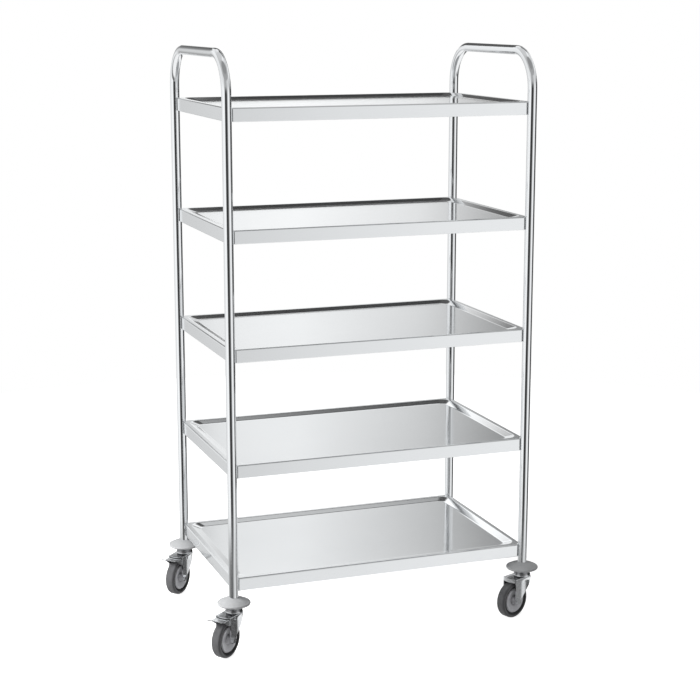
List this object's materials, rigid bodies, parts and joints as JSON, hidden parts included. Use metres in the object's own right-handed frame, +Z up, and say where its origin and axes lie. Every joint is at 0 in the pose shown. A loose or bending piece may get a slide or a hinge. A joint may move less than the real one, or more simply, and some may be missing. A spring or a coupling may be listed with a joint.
{
  "type": "serving trolley",
  "caption": "Stainless serving trolley: bent-tube end frames with hoop handles, stacked pressed trays, swivel castors with bumper discs, toe brakes on one end.",
  "frame": {"origin": "on the floor, under the middle of the four posts", "axes": "+X along the length towards the end without brakes, -Y the front long side, +Z up"},
  "size_m": [0.9943, 0.6603, 1.565],
  "materials": {
    "polished_tube": "polished stainless steel tube",
    "tray_steel": "fine satin stainless sheet",
    "plated_steel": "bright zinc plate",
    "fixing_steel": "plain steel",
    "bumper_grey": "soft light grey plastic",
    "tyre_rubber": "dark grey non-marking rubber",
    "hub_plastic": "moulded grey plastic",
    "plug_nylon": "black nylon"
  },
  "bodies": {
    "trolley": {"left_end_frame": "polished_tube", "right_end_frame": "polished_tube", "tray_1": "tray_steel", "tray_2": "tray_steel", "tray_3": "tray_steel", "tray_4": "tray_steel", "tray_5": "tray_steel", "tray_screws": "fixing_steel", "saddle_washers": "fixing_steel", "rivet_nuts": "fixing_steel", "front_left_tube_plug": "plug_nylon", "front_left_bumper": "bumper_grey", "front_left_stem": "fixing_steel", "front_left_top_cup": "plated_steel", "front_left_swivel_balls": "fixing_steel", "back_left_tube_plug": "plug_nylon", "back_left_bumper": "bumper_grey", "back_left_stem": "fixing_steel", "back_left_top_cup": "plated_steel", "back_left_swivel_balls": "fixing_steel", "front_right_tube_plug": "plug_nylon", "front_right_bumper": "bumper_grey", "front_right_stem": "fixing_steel", "front_right_top_cup": "plated_steel", "front_right_swivel_balls": "fixing_steel", "back_right_tube_plug": "plug_nylon", "back_right_bumper": "bumper_grey", "back_right_stem": "fixing_steel", "back_right_top_cup": "plated_steel", "back_right_swivel_balls": "fixing_steel"},
    "front_left_castor": {"front_left_fork": "plated_steel", "front_left_axle_sleeve": "fixing_steel", "front_left_axle_bolt": "plated_steel", "front_left_brake_pin": "plated_steel"},
    "front_left_wheel": {"front_left_tyre": "tyre_rubber", "front_left_hub": "hub_plastic"},
    "front_left_brake": {"front_left_brake_pedal": "plated_steel", "front_left_brake_shoe": "fixing_steel"},
    "back_left_castor": {"back_left_fork": "plated_steel", "back_left_axle_sleeve": "fixing_steel", "back_left_axle_bolt": "plated_steel", "back_left_brake_pin": "plated_steel"},
    "back_left_wheel": {"back_left_tyre": "tyre_rubber", "back_left_hub": "hub_plastic"},
    "back_left_brake": {"back_left_brake_pedal": "plated_steel", "back_left_brake_shoe": "fixing_steel"},
    "front_right_castor": {"front_right_fork": "plated_steel", "front_right_axle_sleeve": "fixing_steel", "front_right_axle_bolt": "plated_steel"},
    "front_right_wheel": {"front_right_tyre": "tyre_rubber", "front_right_hub": "hub_plastic"},
    "back_right_castor": {"back_right_fork": "plated_steel", "back_right_axle_sleeve": "fixing_steel", "back_right_axle_bolt": "plated_steel"},
    "back_right_wheel": {"back_right_tyre": "tyre_rubber", "back_right_hub": "hub_plastic"}
  },
  "joints": [
    {"name": "front_left_swivel", "type": "hinge", "parent": "trolley", "child": "front_left_castor", "pos_m": [-0.4175, -0.2575, 0.121], "axis": [0, 0, 1], "continuous": true},
    {"name": "front_left_roll", "type": "hinge", "parent": "front_left_castor", "child": "front_left_wheel", "pos_m": [-0.44814, -0.28321, 0.05], "axis": [-0.6428, 0.766, 0], "continuous": true},
    {"name": "front_left_brake", "type": "hinge", "parent": "front_left_castor", "child": "front_left_brake", "pos_m": [-0.43818, -0.27486, 0.1055], "axis": [0.6428, -0.766, 0], "range_deg": [0, 11]},
    {"name": "back_left_swivel", "type": "hinge", "parent": "trolley", "child": "back_left_castor", "pos_m": [-0.4175, 0.2575, 0.121], "axis": [0, 0, 1], "continuous": true},
    {"name": "back_left_roll", "type": "hinge", "parent": "back_left_castor", "child": "back_left_wheel", "pos_m": [-0.44578, 0.22922, 0.05], "axis": [-0.7071, 0.7071, 0], "continuous": true},
    {"name": "back_left_brake", "type": "hinge", "parent": "back_left_castor", "child": "back_left_brake", "pos_m": [-0.43659, 0.23841, 0.1055], "axis": [0.7071, -0.7071, 0], "range_deg": [0, 11]},
    {"name": "front_right_swivel", "type": "hinge", "parent": "trolley", "child": "front_right_castor", "pos_m": [0.4175, -0.2575, 0.121], "axis": [0, 0, 1], "continuous": true},
    {"name": "front_right_roll", "type": "hinge", "parent": "front_right_castor", "child": "front_right_wheel", "pos_m": [0.38068, -0.27313, 0.05], "axis": [-0.3907, 0.9205, 0], "continuous": true},
    {"name": "back_right_swivel", "type": "hinge", "parent": "trolley", "child": "back_right_castor", "pos_m": [0.4175, 0.2575, 0.121], "axis": [0, 0, 1], "continuous": true},
    {"name": "back_right_roll", "type": "hinge", "parent": "back_right_castor", "child": "back_right_wheel", "pos_m": [0.44723, 0.28426, 0.05], "axis": [0.6691, -0.7431, 0], "continuous": true}
  ]
}
